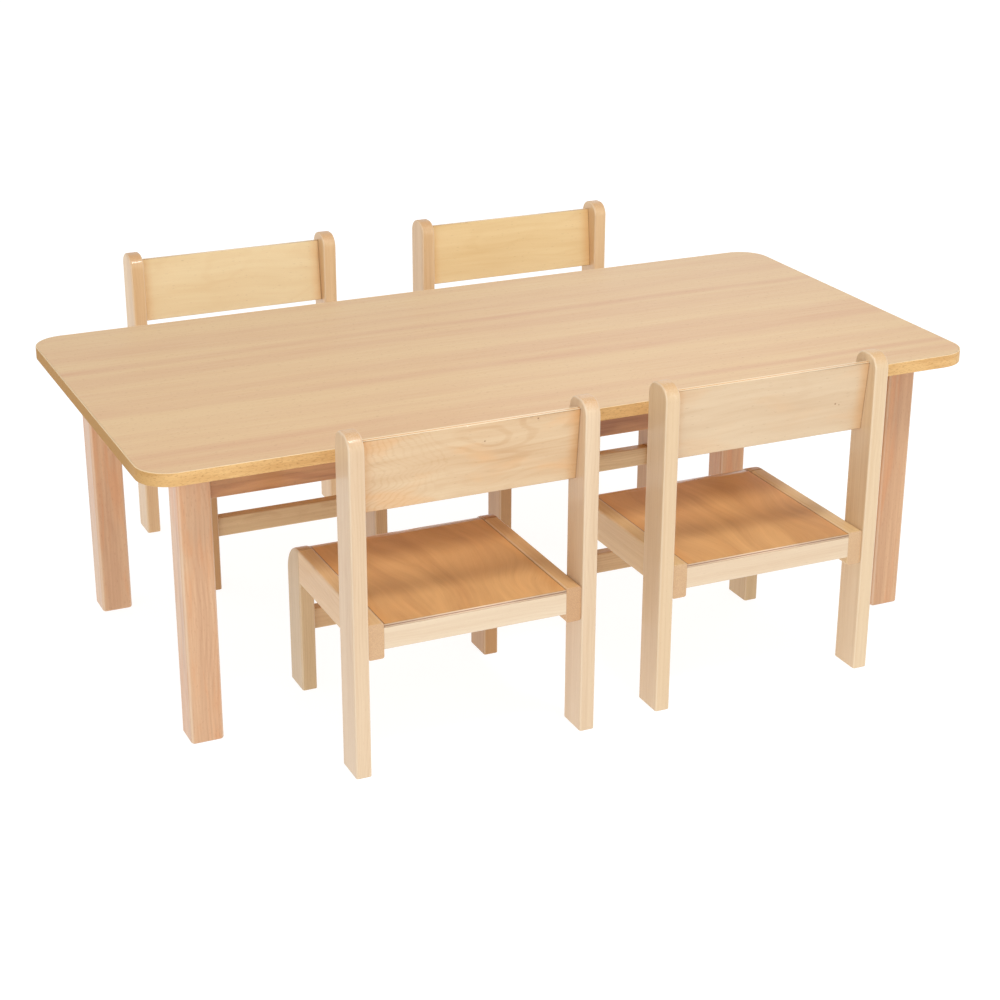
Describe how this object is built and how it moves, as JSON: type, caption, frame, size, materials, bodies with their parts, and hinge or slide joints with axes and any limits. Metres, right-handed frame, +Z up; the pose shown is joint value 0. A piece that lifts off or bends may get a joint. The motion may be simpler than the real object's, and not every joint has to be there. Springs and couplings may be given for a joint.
{
  "type": "children's table and chairs",
  "caption": "Low rectangular children's table with rounded corners and small wooden chairs with bent plywood seats and tilted plywood backs.",
  "frame": {"origin": "on the floor, in the middle of the whole set's plan with the chairs where they are drawn up; the table's own middle is 52 mm towards -Y", "axes": "+X along the table's length, +Y from the near chairs to the far chairs, +Z up"},
  "size_m": [1.2, 0.938, 0.456],
  "materials": {
    "top_laminate": "satin beech-pattern laminate with fine streaks along the table",
    "edge_band": "satin ochre wood-pattern edge band",
    "top_core": "raw particle board",
    "table_leg_wood": "clear satin lacquer on beech, grain upright",
    "table_apron_wood": "clear satin lacquer on beech, grain level",
    "block_wood": "raw beech",
    "steel": "zinc-plated steel",
    "post_wood": "clear satin lacquer on pale beech, grain upright",
    "rail_wood": "clear satin lacquer on beech, grain level",
    "front_leg_wood": "clear satin lacquer on beech, grain upright",
    "stretcher_wood": "clear satin lacquer on beech, grain level",
    "rear_apron_wood": "clear satin lacquer on pale beech, grain level",
    "seat_ply": "glossy honey lacquer on bent plywood",
    "back_ply": "clear satin lacquer on pale plywood",
    "dowel_wood": "raw beech"
  },
  "bodies": {
    "table": {"table_top_core": "top_core", "table_top_laminate": "top_laminate", "table_edge_band": "edge_band", "table_leg_near_left": "table_leg_wood", "table_leg_near_right": "table_leg_wood", "table_leg_far_left": "table_leg_wood", "table_leg_far_right": "table_leg_wood", "table_apron_near": "table_apron_wood", "table_apron_far": "table_apron_wood", "table_apron_left": "table_apron_wood", "table_apron_right": "table_apron_wood", "table_corner_blocks": "block_wood", "table_leg_bolts": "steel", "table_top_screws": "steel"},
    "near_left_chair": {"near_left_rear_post_left": "post_wood", "near_left_rear_post_right": "post_wood", "near_left_side_rail_left": "rail_wood", "near_left_side_rail_right": "rail_wood", "near_left_front_leg_left": "front_leg_wood", "near_left_front_leg_right": "front_leg_wood", "near_left_front_stretcher": "stretcher_wood", "near_left_rear_apron": "rear_apron_wood", "near_left_seat": "seat_ply", "near_left_backrest": "back_ply", "near_left_dowels": "dowel_wood"},
    "near_right_chair": {"near_right_rear_post_left": "post_wood", "near_right_rear_post_right": "post_wood", "near_right_side_rail_left": "rail_wood", "near_right_side_rail_right": "rail_wood", "near_right_front_leg_left": "front_leg_wood", "near_right_front_leg_right": "front_leg_wood", "near_right_front_stretcher": "stretcher_wood", "near_right_rear_apron": "rear_apron_wood", "near_right_seat": "seat_ply", "near_right_backrest": "back_ply", "near_right_dowels": "dowel_wood"},
    "far_left_chair": {"far_left_rear_post_left": "post_wood", "far_left_rear_post_right": "post_wood", "far_left_side_rail_left": "rail_wood", "far_left_side_rail_right": "rail_wood", "far_left_front_leg_left": "front_leg_wood", "far_left_front_leg_right": "front_leg_wood", "far_left_front_stretcher": "stretcher_wood", "far_left_rear_apron": "rear_apron_wood", "far_left_seat": "seat_ply", "far_left_backrest": "back_ply", "far_left_dowels": "dowel_wood"},
    "far_right_chair": {"far_right_rear_post_left": "post_wood", "far_right_rear_post_right": "post_wood", "far_right_side_rail_left": "rail_wood", "far_right_side_rail_right": "rail_wood", "far_right_front_leg_left": "front_leg_wood", "far_right_front_leg_right": "front_leg_wood", "far_right_front_stretcher": "stretcher_wood", "far_right_rear_apron": "rear_apron_wood", "far_right_seat": "seat_ply", "far_right_backrest": "back_ply", "far_right_dowels": "dowel_wood"}
  },
  "joints": [
    {"name": "near_left_slide", "type": "slide", "parent": "table", "child": "near_left_chair", "axis": [0, 1, 0], "range_m": [-0.3, 0.06]},
    {"name": "near_right_slide", "type": "slide", "parent": "table", "child": "near_right_chair", "axis": [0, 1, 0], "range_m": [-0.3, 0.05]},
    {"name": "far_left_slide", "type": "slide", "parent": "table", "child": "far_left_chair", "axis": [0, -1, 0], "range_m": [-0.2, 0.155]},
    {"name": "far_right_slide", "type": "slide", "parent": "table", "child": "far_right_chair", "axis": [0, -1, 0], "range_m": [-0.2, 0.16]}
  ]
}
